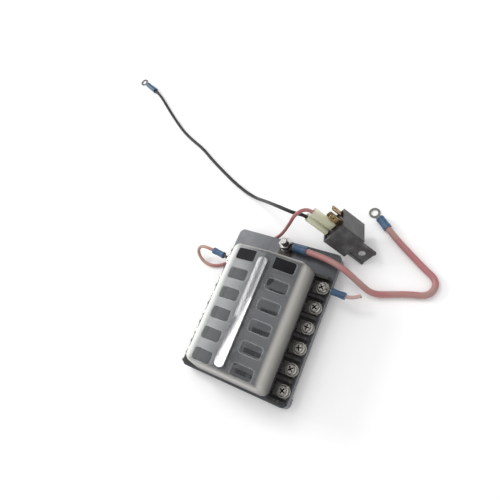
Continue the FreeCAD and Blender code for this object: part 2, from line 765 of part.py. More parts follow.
def ring_terminal(name, ring, hole, sleeve, wire, start, barrel_run, placement):
    """Ring, cranked tongue and crimp barrel; the ring's centre is the origin, the wire side +X."""
    body = new_body(name)
    metal = "sheet_metal"
    axis = "%s + lay_gap" % sleeve
    pad(body, sketch(body, "XY_Plane", circles=[("0", "0", ring), ("0", "0", hole)]), metal)
    under = "%s - barrel_wall" % axis
    raised = "%s + %s" % (under, metal)
    ramp = [("%s + crank_lap" % hole, "0"), ("%s - crank_foot" % start, "0"),
            ("%s - crank_lap" % start, under), ("%s - crank_lap" % start, raised),
            ("%s - crank_brow" % start, raised), ("%s - crank_heel" % start, metal),
            ("%s + crank_lap" % hole, metal)]
    pad(body, sketch(body, "XZ_Plane", [ramp]), "%s * tongue_share" % wire, middle=True)
    barrel = "%s + barrel_wall" % wire
    pad(body, sketch(body, "YZ_Plane", circles=[("0", axis, barrel)], offset="%s - barrel_lap" % start),
        "%s + barrel_lap" % barrel_run)
    body.Placement = placement
    return body


def crimp_sleeve(name, sleeve, wire, start, barrel_run, length, placement):
    """Insulating sleeve with a pressed waist, a bore for the barrel and a mouth for the wire."""
    body = new_body(name)
    step = "%s + %s" % (start, barrel_run)
    end = "%s + %s" % (start, length)
    bore = "%s + barrel_wall" % wire
    mouth = "%s + wire_play" % wire
    waist = "%s - waist_depth" % sleeve
    section = [(start, bore), (step, bore), (step, mouth), (end, mouth), (end, sleeve),
               ("%s - back_bead" % end, sleeve), ("%s - back_waist" % end, waist),
               ("%s + front_waist" % start, waist), ("%s + front_bead" % start, sleeve),
               ("%s + sleeve_lip" % start, sleeve), (start, waist)]
    profile = sketch(body, "XZ_Plane", [section])
    made = body.newObject("PartDesign::Revolution", name + "_turned")
    made.Profile = profile
    made.ReferenceAxis = (origin_feature(body, "X_Axis"), [""])
    made.Angle = 360
    doc.recompute()
    lifted = FreeCAD.Placement(Vector(0, 0, size(sleeve) + size("lay_gap")), FreeCAD.Rotation())
    body.Placement = placement.multiply(lifted)
    return body


def terminal_pair(name, kind, place, heading):
    """A ring terminal with its sleeve, lying at a place and pointing at the wire."""
    placement = FreeCAD.Placement(Vector(*place), FreeCAD.Rotation(Vector(0, 0, 1), heading))
    ring, hole, sleeve, wire, start, barrel_run, length = kind
    return [ring_terminal(name + "_ring", ring, hole, sleeve, wire, start, barrel_run, placement),
            crimp_sleeve(name + "_sleeve", sleeve, wire, start, barrel_run, length, placement)]


SMALL = ("small_ring", "small_hole", "small_sleeve", "thin_wire",
         "sleeve_start", "barrel_length", "sleeve_length")
LARGE = ("large_ring", "large_hole", "large_sleeve", "thick_wire",
         "sleeve_start", "barrel_length", "sleeve_length")
LONG = ("small_ring", "small_hole", "small_sleeve", "thin_wire",
        "long_start", "long_barrel", "long_sleeve")


# Where the free ring terminals lie on the table, and which way each terminal's wire leaves it.
FEED_END = (50.2, 98.7, 0)
GROUND_END = (-226.5, 188.0, 0)
FEED_HEADING = -3.6
LEFT_HEADING = 171.5
FEED_END_HEADING = -39.3
GROUND_HEADING = -24.2


def terminals():
    """The five ring terminals: three on the block and two on free ends."""
    pads = size("deck_top") + size("strip_floor") + size("sheet_metal")
    on_stud = size("deck_top") + size("bus_metal") + size("washer_metal")
    reach = screw_x()
    made = terminal_pair("feed", LARGE, (0, stud_y(), on_stud), FEED_HEADING)
    made += terminal_pair("circuit_right", SMALL, (reach, row_y(0), pads), FEED_HEADING)
    made += terminal_pair("circuit_left", SMALL, (-reach, row_y(0), pads), LEFT_HEADING)
    made += terminal_pair("feed_end", LARGE, FEED_END, FEED_END_HEADING)
    made += terminal_pair("ground", LONG, GROUND_END, GROUND_HEADING)
    return made


# The relay's own frame: X away from its blades, Y and Z along its sides.
RELAY_TURN = FreeCAD.Rotation(-7.8, 44.7, -127.5)
RELAY_X = 41.22
RELAY_Y = 68.46


def relay_case():
    """Moulded can with an open blade face and a ribbed mounting ear with one hole."""
    body = new_body("relay_case")
    side = "relay_side"
    pad(body, sketch(body, "XY_Plane", [box_loop("0", side, "0", side)]), side)
    far = size(side) - 0.01
    rounded = edges_where(body.Shape, lambda edge: edge.BoundBox.XMin > 0.01 or
                          edge.BoundBox.XLength > far)
    round_edges(body, rounded, "relay_edge")
    mouth = box_loop("relay_wall", "relay_side - relay_wall", "relay_wall", "relay_side - relay_wall")
    pocket(body, sketch(body, "YZ_Plane", [mouth]), "relay_recess", reverse=True)
    low = "(relay_side - ear_width) / 2 - ear_shift"
    high = "(relay_side + ear_width) / 2 - ear_shift"
    root = "relay_side - ear_root"
    tip = "relay_side + ear_length"
    web = box_loop(root, tip, low, high)
    pad(body, sketch(body, "XY_Plane", [web], offset="(ear_metal - ear_web) / 2"), "ear_web")
    ribs = [box_loop(root, tip, low, "%s + ear_rib" % low),
            box_loop(root, tip, "%s - ear_rib" % high, high)]
    pad(body, sketch(body, "XY_Plane", ribs), "ear_metal")
    pocket(body, sketch(body, "XY_Plane", circles=[
        ("relay_side + ear_length / 2", "(%s + %s) / 2" % (low, high), "ear_hole")],
        offset="ear_metal"), "ear_metal")
    return body


# Where each blade stands on the relay's face, and whether its width runs along Z.
BLADES = [(6.4, 12.0, False), (4.0, 6.6, False), (2.5, 15.2, True), (10.6, 8.5, False),
          (16.7, 8.5, True)]
RED_BLADE = BLADES[3]
BLACK_BLADE = BLADES[4]


def blade_shape(blade, width, height, start, run, spare=0.0):
    """A bar along X centred on a blade, with a section that is widened by a spare on every side."""
    y, z, standing = blade
    wide = width + 2 * spare
    high = height + 2 * spare
    if standing:
        wide, high = high, wide
    return Part.makeBox(run, wide, high, Vector(start, y - wide / 2, z - high / 2))


def relay_base(placement):
    """Plate that closes the can, with a slot for each blade."""
    wall = size("relay_wall") + size("plate_play")
    inside = size("relay_side") - 2 * wall
    floor = size("relay_floor")
    start = size("relay_recess") - floor
    plate = Part.makeBox(floor, inside, inside, Vector(start, wall, wall))
    for blade in BLADES:
        plate = plate.cut(blade_shape(blade, size("blade_width"), size("blade_metal"), -1, 8))
    return feature("relay_base", plate, placement)


def relay_blades(placement):
    """Five spade blades with bevelled tips, two of them with their holes in view."""
    blades = []
    root = size("relay_recess")
    run = size("blade_length") + root
    for blade in BLADES:
        bar = blade_shape(blade, size("blade_width"), size("blade_metal"), root - run, run)
        tips = [edge for edge in bar.Edges if edge.BoundBox.XMax < root - run + 0.01
                and edge.Length < size("blade_metal") + 0.01]
        bar = bar.makeChamfer(size("blade_bevel"), tips)
        y, z, standing = blade
        axis = Vector(0, 1, 0) if standing else Vector(0, 0, 1)
        middle = Vector(root - run + size("blade_hole_inset"), y, z)
        hole = Part.makeCylinder(size("blade_hole"), 4, middle - axis * 2, axis)
        blades.append(bar.cut(hole))
    return feature("relay_blades", Part.makeCompound(blades), placement)


def spade_receptacle(name, blade, wire_start, placement):
    """Folded spade socket on a blade, with a crimp barrel for the wire."""
    width = size("spade_width")
    height = size("spade_height")
    run = size("spade_length")
    start = -size("spade_back") - run
    shell = blade_shape(blade, width, height, start, run)
    rounded = [edge for edge in shell.Edges if edge.BoundBox.XLength > run - 0.01]
    shell = shell.makeFillet(height * size("spade_rounding"), rounded)
    shell = shell.cut(blade_shape(blade, size("blade_width"), size("blade_metal"),
                                  start + size("spade_mouth"), run + 2, size("spade_play")))
    y, z, standing = blade
    barrel = Part.makeCylinder(size("thin_wire") + size("spade_barrel_wall"),
                               start - wire_start + size("spade_barrel_lap"),
                               Vector(wire_start, y, z), Vector(1, 0, 0))
    return feature(name, shell.fuse(barrel), placement)


def clear_boot(name, blade, placement):
    """Thin oval insulating sleeve pushed over a spade receptacle."""
    width = size("boot_width")
    height = size("boot_height")
    wall = size("boot_wall")
    run = size("boot_length")
    start = -size("boot_back") - run
    outer = blade_shape(blade, width, height, start, run)
    outer = outer.makeFillet(height * size("boot_rounding"), [
        edge for edge in outer.Edges if edge.BoundBox.XLength > run - 0.01])
    inner = blade_shape(blade, width - 2 * wall, height - 2 * wall, start - 1, run + 2)
    inner = inner.makeFillet((height - 2 * wall) * size("boot_bore_rounding"), [
        edge for edge in inner.Edges if edge.BoundBox.XLength > run])
    return feature(name, outer.cut(inner), placement)


# Where the wires start on the relay's X axis, inside the boots, and how far back their next point is.
WIRE_START = -13.8
WIRE_LEAD = 7.2
TABLE_GAP = 0.02


def relay_pieces():
    """The relay, its two push-on receptacles and their clear boots, resting on the table."""
    case = relay_case()
    case.Placement = FreeCAD.Placement(Vector(RELAY_X, RELAY_Y, 0), RELAY_TURN)
    doc.recompute()
    lift = TABLE_GAP - case.Shape.BoundBox.ZMin
    placement = FreeCAD.Placement(Vector(RELAY_X, RELAY_Y, lift), RELAY_TURN)
    case.Placement = placement
    print("relay frame height %.2f" % lift)
    for label, blade in (("red", RED_BLADE), ("black", BLACK_BLADE)):
        for run in (WIRE_START, WIRE_START - WIRE_LEAD):
            point = placement.multVec(Vector(run, blade[0], blade[1]))
            print("%s wire at %.1f: %.2f %.2f %.2f" % (label, run, point.x, point.y, point.z))
    return [case, relay_base(placement), relay_blades(placement),
            spade_receptacle("spade_red", RED_BLADE, WIRE_START, placement),
            spade_receptacle("spade_black", BLACK_BLADE, WIRE_START, placement),
            clear_boot("boot_red", RED_BLADE, placement),
            clear_boot("boot_black", BLACK_BLADE, placement)]


# Routes of the wires, point by point from one end to the other.
FEED_ROUTE = [
    (13.17, 50.37, 15.4), (23.55, 49.72, 15.4), (35.0, 48.0, 17.5), (47.0, 45.0, 17.0),
    (58.0, 40.5, 11.0), (68.5, 37.0, 3.4), (80.0, 41.3, 2.3), (92.0, 45.2, 2.3),
    (101.7, 47.0, 2.3), (105.7, 53.0, 2.3), (104.2, 60.2, 2.3), (96.7, 64.6, 2.3),
    (87.0, 71.0, 2.3), (75.0, 79.2, 2.3), (67.38, 84.64, 3.2), (60.41, 90.34, 3.2)]
RED_ROUTE = [
    (22.07, 71.38, 34.06), (17.0, 72.07, 39.13), (13.5, 68.2, 45.0), (9.2, 63.3, 43.5),
    (6.0, 62.6, 37.0), (1.7, 62.6, 28.0), (-6.7, 61.6, 12.0), (-13.5, 60.0, 2.0), (-24.0, 49.5, 1.35),
    (-35.0, 38.0, 1.4), (-45.5, 27.0, 1.35), (-56.0, 21.5, 1.4), (-66.5, 22.5, 2.0),
    (-72.5, 28.5, 6.5), (-67.5, 32.0, 13.2), (-58.5, 31.55, 14.2), (-50.15, 30.31, 14.2)]
BLACK_ROUTE = [
    (18.2, 68.16, 30.62), (13.13, 68.85, 35.69), (6.5, 66.8, 39.5), (-4.5, 68.8, 39.0),
    (-17.5, 74.0, 30.0), (-31.0, 80.6, 16.5), (-44.0, 86.0, 5.5), (-58.0, 91.3, 1.6),
    (-73.0, 98.0, 1.35), (-89.0, 106.5, 1.35), (-103.5, 114.5, 1.35), (-118.0, 123.6, 1.35),
    (-132.5, 129.9, 1.35), (-147.0, 137.3, 1.35), (-160.0, 146.3, 1.35), (-173.0, 155.8, 1.35),
    (-186.0, 166.0, 1.35), (-198.5, 175.4, 2.6), (-209.53, 180.37, 2.6)]
STUB_ROUTE = [(50.27, 27.53, 14.2), (56.0, 27.17, 14.2), (60.3, 28.6, 14.1), (64.1, 31.0, 14.0)]


def wire_tube(name, route, radius):
    """A round tube along straight runs that are joined by arcs as large as the runs allow."""
    points = [Vector(*point) for point in route]
    edges = []
    radii = []
    length = 0.0
    start = points[0]
    for before, corner, after in zip(points, points[1:], points[2:]):
        arriving = (corner - before).normalize()
        leaving = (after - corner).normalize()
        half = arriving.getAngle(leaving) / 2
        back = 0.45 * min(before.distanceToPoint(corner), corner.distanceToPoint(after))
        bend = back / math.tan(half)
        radii.append(bend)
        towards = (leaving - arriving).normalize()
        first = corner - arriving * back
        middle = corner + towards * (bend / math.cos(half) - bend)
        last = corner + leaving * back
        edges.append(Part.LineSegment(start, first).toShape())
        edges.append(Part.Arc(first, middle, last).toShape())
        length += start.distanceToPoint(first) + bend * 2 * half
        start = last
    edges.append(Part.LineSegment(start, points[-1]).toShape())
    length += start.distanceToPoint(points[-1])
    heading = points[1] - points[0]
    ring = Part.Wire(Part.makeCircle(radius, points[0], heading))
    tube = Part.Wire(edges).makePipeShell([ring], True, False)
    expected = math.pi * radius ** 2 * length
    print("%s: length %.1f, volume ratio %.4f, radii %s" % (
        name, length, tube.Volume / expected, " ".join("%.1f" % bend for bend in radii)))
    return feature(name, tube)


def wires():
    """The three leads and the short cut end of a fourth."""
    return [wire_tube("feed_wire", FEED_ROUTE, size("thick_wire")),
            wire_tube("relay_lead", RED_ROUTE, size("thin_wire")),
            wire_tube("ground_wire", BLACK_ROUTE, size("thin_wire")),
            wire_tube("cut_wire_end", STUB_ROUTE, size("thin_wire"))]


def export(pieces):
    """Checks the whole document, then writes each piece to its own file."""
    doc.recompute()
    for item in doc.Objects:
        if "Invalid" in item.State or "Error" in item.State:
            raise RuntimeError("%s failed: %s" % (item.Name, item.State))
    os.makedirs("parts", exist_ok=True)
    for piece in pieces:
        if piece.Shape.isNull() or not piece.Shape.isValid():
            raise RuntimeError(piece.Label + " has no valid shape")
        piece.Shape.exportStep(os.path.join("parts", piece.Label + ".step"))
        print("%-22s solids %2d volume %9.1f" % (
            piece.Label, len(piece.Shape.Solids), piece.Shape.Volume))


export([base_moulding(), cover()] + labels() + barrier_strip() + [bus_bar(), bus_clips()]
       + [circuit_terminals()] + screws_and_washers() + stud_stack() + terminals()
       + relay_pieces() + wires())
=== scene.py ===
"""Looks of a twelve-way fuse block with its leads and relay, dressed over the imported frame."""

import json
import logging
import math
from dataclasses import dataclass, field
from enum import Enum
from typing import Dict, List, Optional, Sequence, Tuple, Union

import bpy
import numpy as np
from mathutils import Euler, Matrix, Vector

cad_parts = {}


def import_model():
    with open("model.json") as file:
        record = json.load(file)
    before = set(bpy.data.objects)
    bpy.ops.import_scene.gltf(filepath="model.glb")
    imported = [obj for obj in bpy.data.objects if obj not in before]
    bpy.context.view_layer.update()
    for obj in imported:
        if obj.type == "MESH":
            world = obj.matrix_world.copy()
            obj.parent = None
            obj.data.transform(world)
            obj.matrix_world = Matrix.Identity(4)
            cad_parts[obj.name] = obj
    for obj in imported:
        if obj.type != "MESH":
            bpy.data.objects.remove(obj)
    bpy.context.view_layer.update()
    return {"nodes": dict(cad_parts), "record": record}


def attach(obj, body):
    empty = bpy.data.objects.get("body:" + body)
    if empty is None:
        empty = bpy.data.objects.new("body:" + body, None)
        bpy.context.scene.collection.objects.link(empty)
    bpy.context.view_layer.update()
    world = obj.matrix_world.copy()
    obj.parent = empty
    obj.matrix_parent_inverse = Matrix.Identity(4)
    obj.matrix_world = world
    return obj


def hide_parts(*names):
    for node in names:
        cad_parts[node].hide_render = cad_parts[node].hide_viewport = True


log = logging.getLogger("fuse_block")

Colour = Tuple[float, float, float]
Point = Tuple[float, float, float]
Socket = bpy.types.NodeSocket
Tree = bpy.types.NodeTree
Value = Union[bpy.types.NodeSocket, float]

MM = 0.001
ROW_PITCH = 14.8 * MM
FIRST_ROW = 28.36 * MM

# The Mix node's sockets for colours, which share their names with the other kinds' sockets.
FIRST_COLOUR = 6
SECOND_COLOUR = 7
MIXED_COLOUR = 2


class Body(Enum):
    """The body of the frame that the leads ride on."""

    BASE = "base"


class Stiffness(Enum):
    """How a lead bends."""

    LIMP = "limp"
    MEDIUM = "medium"


class Axis(Enum):
    """An axis of the Object coordinates."""

    X = "X"
    Y = "Y"
    Z = "Z"


def link(tree: Tree, source: Socket, target: Socket) -> None:
    """Joins two sockets of a tree.

    Args:
        tree: the node tree that holds both.
        source: the output socket.
        target: the input socket.
    """
    tree.links.new(source, target)


def feed(tree: Tree, slot: Socket, value: Value) -> None:
    """Gives an input socket a plain number, or joins another socket to it.

    Args:
        tree: the node tree that holds the input.
        slot: the input socket.
        value: a number, or the output socket to join.
    """
    if isinstance(value, (int, float)):
        slot.default_value = value
    else:
        link(tree, value, slot)


def math_node(tree: Tree, operation: str, *values: Value) -> Socket:
    """Adds a Math node.

    Args:
        tree: the node tree that gets the node.
        operation: the node's operation.
        values: sockets or plain numbers for its inputs, in order.

    Returns:
        The node's output socket.
    """
    node = tree.nodes.new("ShaderNodeMath")
    node.operation = operation
    for slot, value in zip(node.inputs, values):
        feed(tree, slot, value)
    return node.outputs[0]


def distance(tree: Tree, first: Socket, second: Socket) -> Socket:
    """Adds the length of a two-sided offset.

    Args:
        tree: the node tree that gets the nodes.
        first: the offset one way.
        second: the offset across it.

    Returns:
        The length's socket.
    """
    squares = math_node(tree, "ADD", math_node(tree, "MULTIPLY", first, first),
                        math_node(tree, "MULTIPLY", second, second))
    return math_node(tree, "SQRT", squares)


def from_nearest_row(tree: Tree, place: Socket, first_row: float) -> Socket:
    """Adds the offset from the nearest row of screws or windows.

    Args:
        tree: the node tree that gets the nodes.
        place: the place along the block.
        first_row: the place of the first row.

    Returns:
        The offset's socket.
    """
    from_first = math_node(tree, "SUBTRACT", place, first_row)
    return math_node(tree, "WRAP", from_first, ROW_PITCH / 2, -ROW_PITCH / 2)


def smooth_step(tree: Tree, value: Socket, low: float, high: float) -> Socket:
    """Adds a smooth ramp from 0 at low to 1 at high.

    Args:
        tree: the node tree that gets the node.
        value: the socket that is ramped.
        low: where the ramp starts.
        high: where the ramp ends.

    Returns:
        The ramp's output socket.
    """
    node = tree.nodes.new("ShaderNodeMapRange")
    node.interpolation_type = "SMOOTHSTEP"
    node.inputs["From Min"].default_value = low
    node.inputs["From Max"].default_value = high
    link(tree, value, node.inputs["Value"])
    return node.outputs["Result"]


def mix_colour(tree: Tree, factor: Socket, first: Union[Socket, Colour],
               second: Union[Socket, Colour]) -> Socket:
    """Adds a colour mix.

    Args:
        tree: the node tree that gets the node.
        factor: a socket from 0 to 1.
        first: colour or socket at 0.
        second: colour or socket at 1.

    Returns:
        The mixed colour's socket.
    """
    node = tree.nodes.new("ShaderNodeMix")
    node.data_type = "RGBA"
    link(tree, factor, node.inputs["Factor"])
    for slot, value in ((node.inputs[FIRST_COLOUR], first), (node.inputs[SECOND_COLOUR], second)):
        if isinstance(value, tuple):
            slot.default_value = (*value, 1.0)
        else:
            link(tree, value, slot)
    return node.outputs[MIXED_COLOUR]


def noise(tree: Tree, place: Socket, scale: Value, detail: float, roughness: float = 0.5) -> Socket:
    """Adds a Noise texture.

    Args:
        tree: the node tree that gets the node.
        place: where the noise is read.
        scale: its scale, as a number or a socket.
        detail: how many octaves it has.
        roughness: how strong its finer octaves are.

    Returns:
        The noise's value.
    """
    node = tree.nodes.new("ShaderNodeTexNoise")
    node.inputs["Detail"].default_value = detail
    node.inputs["Roughness"].default_value = roughness
    link(tree, place, node.inputs["Vector"])
    feed(tree, node.inputs["Scale"], scale)
    return node.outputs["Fac"]


def split_axes(tree: Tree, place: Socket) -> Dict[Axis, Socket]:
    """Splits a place into its axes.

    Args:
        tree: the node tree that gets the node.
        place: the Object coordinates.

    Returns:
        The socket of each axis.
    """
    node = tree.nodes.new("ShaderNodeSeparateXYZ")
    link(tree, place, node.inputs[0])
    return {axis: node.outputs[axis.value] for axis in Axis}


def add_group(tree: Tree, group: Tree, place: Socket) -> bpy.types.Node:
    """Adds one of the shared groups.

    Args:
        tree: the node tree that gets the node.
        group: the shared group.
        place: the Object coordinates.

    Returns:
        The group's node.
    """
    node = tree.nodes.new("ShaderNodeGroup")
    node.node_tree = group
    link(tree, place, node.inputs["Place"])
    return node


class SurfaceGroups:
    """Shader node groups that several finishes share, with the sizes of their patterns."""

    GRAIN_SCALE = 2500.0
    GRAIN_DETAIL = 3.0
    MOTTLE_SCALE = 60.0
    MOTTLE_DETAIL = 4.0
    MOTTLE_FROM, MOTTLE_FULL = 0.30, 0.72
    PATCH_SCALE = 350.0
    PATCH_DETAIL = 5.0
    PATCH_ROUGHNESS = 0.65
    PATCH_FROM, PATCH_FULL = 0.42, 0.68
    SPOTS_PER_PATCH = 3.0
    SPOT_RADIUS = 0.28
    SCRATCH_SCALE = 900.0
    SCRATCH_DETAIL = 2.0
    SCRATCH_STRETCH = (1.0, 0.06, 1.0)
    SCRATCH_TURN = (0.0, 0.0, 0.22)
    SCRATCH_FROM, SCRATCH_FULL = 0.62, 0.70

    def __init__(self) -> None:
        """Builds each group once."""
        self.grain = self._grain()
        self.tarnish = self._tarnish()
        self.scratches = self._scratches()

    @staticmethod
    def _start(name: str, knob: str, default: float,
               outputs: Sequence[str]) -> Tuple[Tree, bpy.types.Node, bpy.types.Node]:
        """Starts a group with a place, one number and some values that it puts out.

        Args:
            name: the group's name.
            knob: the number's name.
            default: the number's default.
            outputs: name of each value output.

        Returns:
            The tree, its input node and its output node.
        """
        tree = bpy.data.node_groups.new(name, "ShaderNodeTree")
        tree.interface.new_socket(name="Place", in_out="INPUT", socket_type="NodeSocketVector")
        number = tree.interface.new_socket(name=knob, in_out="INPUT", socket_type="NodeSocketFloat")
        number.default_value = default
        for label in outputs:
            tree.interface.new_socket(name=label, in_out="OUTPUT", socket_type="NodeSocketFloat")
        return tree, tree.nodes.new("NodeGroupInput"), tree.nodes.new("NodeGroupOutput")

    def _grain(self) -> Tree:
        """Makes fine moulded grain for height, and a broad slow mottle.

        Returns:
            The group's tree.
        """
        tree, given, out = self._start("moulded_grain", "Fineness", self.GRAIN_SCALE, ("Height", "Mottle"))
        place = given.outputs["Place"]
        fine = noise(tree, place, given.outputs["Fineness"], self.GRAIN_DETAIL)
        broad = noise(tree, place, self.MOTTLE_SCALE, self.MOTTLE_DETAIL)
        link(tree, fine, out.inputs["Height"])
        mottle = smooth_step(tree, broad, self.MOTTLE_FROM, self.MOTTLE_FULL)
        link(tree, mottle, out.inputs["Mottle"])
        return tree

    def _tarnish(self) -> Tree:
        """Makes cloudy patches of dull metal with small spots.

        Returns:
            The group's tree.
        """
        tree, given, out = self._start("tarnish", "Size", self.PATCH_SCALE, ("Patches", "Spots"))
        place, size = given.outputs["Place"], given.outputs["Size"]
        cloud = noise(tree, place, size, self.PATCH_DETAIL, self.PATCH_ROUGHNESS)
        patches = smooth_step(tree, cloud, self.PATCH_FROM, self.PATCH_FULL)
        link(tree, patches, out.inputs["Patches"])
        spots = tree.nodes.new("ShaderNodeTexVoronoi")
        link(tree, place, spots.inputs["Vector"])
        link(tree, math_node(tree, "MULTIPLY", size, self.SPOTS_PER_PATCH), spots.inputs["Scale"])
        away = smooth_step(tree, spots.outputs["Distance"], 0.0, self.SPOT_RADIUS)
        link(tree, math_node(tree, "SUBTRACT", 1.0, away), out.inputs["Spots"])
        return tree

    def _scratches(self) -> Tree:
        """Makes hair scratches that run mostly one way.

        Returns:
            The group's tree.
        """
        tree, given, out = self._start("hair_scratches", "Density", self.SCRATCH_SCALE, ("Lines",))
        stretch = tree.nodes.new("ShaderNodeMapping")
        stretch.inputs["Scale"].default_value = self.SCRATCH_STRETCH
        stretch.inputs["Rotation"].default_value = self.SCRATCH_TURN
        link(tree, given.outputs["Place"], stretch.inputs["Vector"])
        streaks = noise(tree, stretch.outputs["Vector"], given.outputs["Density"], self.SCRATCH_DETAIL)
        lines = smooth_step(tree, streaks, self.SCRATCH_FROM, self.SCRATCH_FULL)
        link(tree, lines, out.inputs["Lines"])
        return tree


@dataclass(frozen=True)
class Canvas:
    """A new material with the parts of it that every finish works on."""

    material: bpy.types.Material
    tree: Tree
    shader: bpy.types.Node
    place: Socket

    @classmethod
    def start(cls, name: str) -> "Canvas":
        """Makes a material with its shader and its Object coordinates.

        Args:
            name: the material's name.

        Returns:
            The canvas.
        """
        material = bpy.data.materials.new(name)
        material.use_nodes = True
        tree = material.node_tree
        place = tree.nodes.new("ShaderNodeTexCoord").outputs["Object"]
        return cls(material, tree, tree.nodes["Principled BSDF"], place)

    def relief(self, height: Socket, strength: float, depth: float) -> None:
        """Bumps the surface by a height mask.

        Args:
            height: the mask.
            strength: how strong the bump is.
            depth: how deep a full step of the mask is.
        """
        node = self.tree.nodes.new("ShaderNodeBump")
        node.inputs["Strength"].default_value = strength
        node.inputs["Distance"].default_value = depth
        link(self.tree, height, node.inputs["Height"])
        link(self.tree, node.outputs["Normal"], self.shader.inputs["Normal"])


@dataclass(frozen=True)
class Fade:
    """A change to another colour along one axis."""

    colour: Colour
    start: float
    full: float
    axis: Axis


@dataclass(frozen=True)
class ScrewRecess:
    """The cross recess in each screw head, painted dark as painted shade."""

    beside: float = 37.1 * MM
    head_top: float = 15.4 * MM
    ring_metal: float = 0.8 * MM
    radius: float = 2.2 * MM
    radius_full: float = 2.1 * MM
    depth: float = 0.08 * MM
    depth_full: float = 0.3 * MM
    # painted shade: near-black paint for the shade in the cross recess
    recess_shade: Colour = (0.012, 0.011, 0.010)

    def mask(self, canvas: Canvas) -> Socket:
        """Makes the recesses' mask. A ring terminal lifts the screws of the first row.

        Args:
            canvas: the material.

        Returns:
            The mask's socket.
        """
        tree = canvas.tree
        axes = split_axes(tree, canvas.place)
        across = math_node(tree, "ABSOLUTE", axes[Axis.X])
        beside = math_node(tree, "SUBTRACT", across, self.beside)
        along = from_nearest_row(tree, axes[Axis.Y], FIRST_ROW)
        middle = smooth_step(tree, distance(tree, beside, along), self.radius, self.radius_full)
        first_row = math_node(tree, "GREATER_THAN", axes[Axis.Y], FIRST_ROW - ROW_PITCH / 2)
        raised = math_node(tree, "MULTIPLY", first_row, self.ring_metal)
        level = math_node(tree, "SUBTRACT", axes[Axis.Z], raised)
        below = smooth_step(tree, level, self.head_top - self.depth, self.head_top - self.depth_full)
        return math_node(tree, "MULTIPLY", middle, below)


@dataclass(frozen=True)
class Finish:
    """A plastic, vinyl or metal surface with grain, mottle and tarnish."""

    name: str
    colour: Colour
    second: Colour
    roughness: float
    metallic: float = 0.0
    bump: float = 0.15
    coat: float = 0.0
    alpha: float = 1.0
    tarnished: bool = False
    patch_scale: float = SurfaceGroups.PATCH_SCALE
    scratched: float = 0.0
    subsurface: float = 0.0
    specular: float = 0.5
    recess: Optional[ScrewRecess] = None
    fade: Optional[Fade] = None
    roughness_spread: float = 0.07
    spot_strength: float = 0.5
    scratch_paleness: float = 0.25
    grain_depth: float = 0.02 * MM
    coat_roughness: float = 0.12
    subsurface_reach: float = 1.5 * MM

    def build(self, groups: SurfaceGroups) -> bpy.types.Material:
        """Makes the material.

        Args:
            groups: the shared node groups.

        Returns:
            The finished material.
        """
        canvas = Canvas.start(self.name)
        tree = canvas.tree
        grain = add_group(tree, groups.grain, canvas.place)
        mask = self._worn(canvas, groups) if self.tarnished else grain.outputs["Mottle"]
        tone = mix_colour(tree, mask, self.colour, self.second)
        height = grain.outputs["Height"]
        if self.scratched:
            tone, height = self._scratch(canvas, groups, tone, height)
        if self.recess:
            # painted shade: the screw heads' cross recesses are painted near black
            tone = mix_colour(tree, self.recess.mask(canvas), tone, self.recess.recess_shade)
        if self.fade:
            along = split_axes(tree, canvas.place)[self.fade.axis]
            tone = mix_colour(tree, smooth_step(tree, along, self.fade.start, self.fade.full), tone,
                              self.fade.colour)
        link(tree, tone, canvas.shader.inputs["Base Color"])
        rough = math_node(tree, "MULTIPLY_ADD", mask, self.roughness_spread, self.roughness)
        link(tree, rough, canvas.shader.inputs["Roughness"])
        canvas.relief(height, self.bump, self.grain_depth)
        self._constants(canvas.shader)
        return canvas.material

    def _worn(self, canvas: Canvas, groups: SurfaceGroups) -> Socket:
        """Makes the mask of dull patches and spots.

        Args:
            canvas: the material.
            groups: the shared node groups.

        Returns:
            The mask's socket.
        """
        worn = add_group(canvas.tree, groups.tarnish, canvas.place)
        worn.inputs["Size"].default_value = self.patch_scale
        spots = math_node(canvas.tree, "MULTIPLY", worn.outputs["Spots"], self.spot_strength)
        return math_node(canvas.tree, "MAXIMUM", worn.outputs["Patches"], spots)

    def _scratch(self, canvas: Canvas, groups: SurfaceGroups, tone: Socket,
                 height: Socket) -> Tuple[Socket, Socket]:
        """Scratches the colour and the height.

        Args:
            canvas: the material.
            groups: the shared node groups.
            tone: the colour so far.
            height: the height so far.

        Returns:
            The scratched colour and height.
        """
        lines = add_group(canvas.tree, groups.scratches, canvas.place)
        faint = math_node(canvas.tree, "MULTIPLY", lines.outputs["Lines"], self.scratched)
        pale = tuple(min(1.0, self.scratch_paleness + value) for value in self.colour)
        return (mix_colour(canvas.tree, faint, tone, pale),
                math_node(canvas.tree, "SUBTRACT", height, faint))

    def _constants(self, shader: bpy.types.Node) -> None:
        """Sets the values that are the same all over.

        Args:
            shader: the material's shader.
        """
        shader.inputs["Metallic"].default_value = self.metallic
        shader.inputs["Coat Weight"].default_value = self.coat
        shader.inputs["Coat Roughness"].default_value = self.coat_roughness
        shader.inputs["Alpha"].default_value = self.alpha
        shader.inputs["Specular IOR Level"].default_value = self.specular
        shader.inputs["Subsurface Weight"].default_value = self.subsurface
        shader.inputs["Subsurface Scale"].default_value = self.subsurface_reach


@dataclass(frozen=True)
class CoverMasks:
    """Where each look of the cover lies."""

    window: Socket
    rim: Socket
    rib: Socket
    walls: Socket
    glare: Socket
    foot: Socket
    left_sheen: Socket


